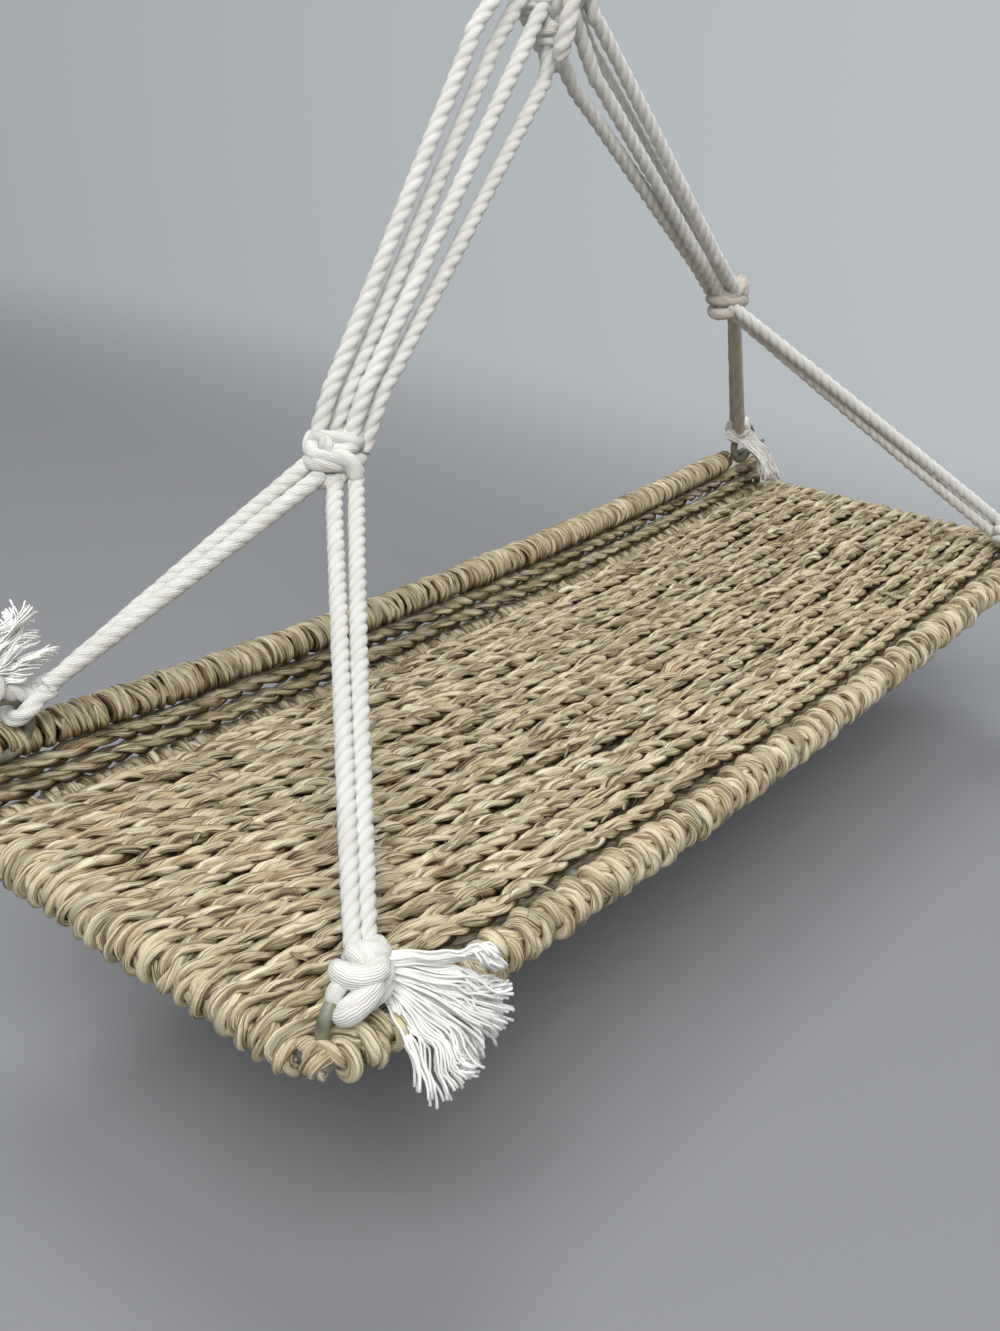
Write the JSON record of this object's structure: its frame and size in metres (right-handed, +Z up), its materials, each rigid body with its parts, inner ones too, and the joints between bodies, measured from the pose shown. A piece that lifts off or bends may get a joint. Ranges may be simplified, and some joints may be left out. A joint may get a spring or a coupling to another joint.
{
  "type": "hanging rope shelf",
  "caption": "Small hanging shelf: a wire tray wound with seagrass, slung from knotted cotton cord with frayed ends, for a hook on a wall.",
  "frame": {"origin": "middle of the hook that the hanging loop lies over", "axes": "+X to the right along the shelf, +Y back towards the wall, +Z up"},
  "size_m": [0.467, 0.171, 0.3212],
  "materials": {
    "cotton_cord": "matte",
    "painted_wire": "satin",
    "seagrass": "matte"
  },
  "bodies": {
    "loop_crowns": {"loop_crown_front_inner": "cotton_cord", "loop_crown_back_inner": "cotton_cord", "loop_crown_front_outer": "cotton_cord", "loop_crown_back_outer": "cotton_cord"},
    "loop_legs": {"loop_leg_left_front_inner": "cotton_cord", "loop_leg_right_front_inner": "cotton_cord", "loop_leg_left_back_inner": "cotton_cord", "loop_leg_right_back_inner": "cotton_cord", "loop_leg_left_front_outer": "cotton_cord", "loop_leg_right_front_outer": "cotton_cord", "loop_leg_left_back_outer": "cotton_cord", "loop_leg_right_back_outer": "cotton_cord"},
    "sling": {"top_knot": "cotton_cord", "left_upper_cord_1": "cotton_cord", "left_upper_cord_2": "cotton_cord", "left_upper_cord_3": "cotton_cord", "left_upper_cord_4": "cotton_cord", "right_upper_cord_1": "cotton_cord", "right_upper_cord_2": "cotton_cord", "right_upper_cord_3": "cotton_cord", "right_upper_cord_4": "cotton_cord", "left_gather_knot": "cotton_cord", "right_gather_knot": "cotton_cord"},
    "tray": {"front_left_outer_cord": "cotton_cord", "front_left_inner_cord": "cotton_cord", "front_right_outer_cord": "cotton_cord", "front_right_inner_cord": "cotton_cord", "back_left_outer_cord": "cotton_cord", "back_left_inner_cord": "cotton_cord", "back_right_outer_cord": "cotton_cord", "back_right_inner_cord": "cotton_cord", "front_left_knot": "cotton_cord", "front_right_knot": "cotton_cord", "back_left_knot": "cotton_cord", "back_right_knot": "cotton_cord", "front_left_tassel": "cotton_cord", "front_right_tassel": "cotton_cord", "back_left_tassel": "cotton_cord", "back_right_tassel": "cotton_cord", "front_left_eyelet": "painted_wire", "front_right_eyelet": "painted_wire", "back_left_eyelet": "painted_wire", "back_right_eyelet": "painted_wire", "front_rail_wire": "painted_wire", "back_floor_wire": "painted_wire", "raised_rail_wire": "painted_wire", "left_end_wire": "painted_wire", "right_end_wire": "painted_wire", "left_back_post": "painted_wire", "right_back_post": "painted_wire", "left_cross_wire": "painted_wire", "centre_cross_wire": "painted_wire", "right_cross_wire": "painted_wire", "front_rail_wrap": "seagrass", "back_floor_wrap": "seagrass", "raised_rail_wrap": "seagrass", "floor_weave": "seagrass", "lower_wall_cord": "seagrass", "upper_wall_cord": "seagrass"}
  },
  "joints": [
    {"name": "front_swing", "type": "hinge", "parent": "loop_crowns", "child": "loop_legs", "pos_m": [0, 0, 0], "axis": [-1, 0, 0], "range_deg": [0, 20]},
    {"name": "side_swing", "type": "hinge", "parent": "loop_legs", "child": "sling", "pos_m": [0, -0.01301, -0.05898], "axis": [0, 1, 0], "range_deg": [-12, 12]},
    {"name": "tray_tip", "type": "hinge", "parent": "sling", "child": "tray", "pos_m": [0, -0.029, -0.18525], "axis": [-0.9955, 0, -0.0944], "range_deg": [0, 18]}
  ]
}
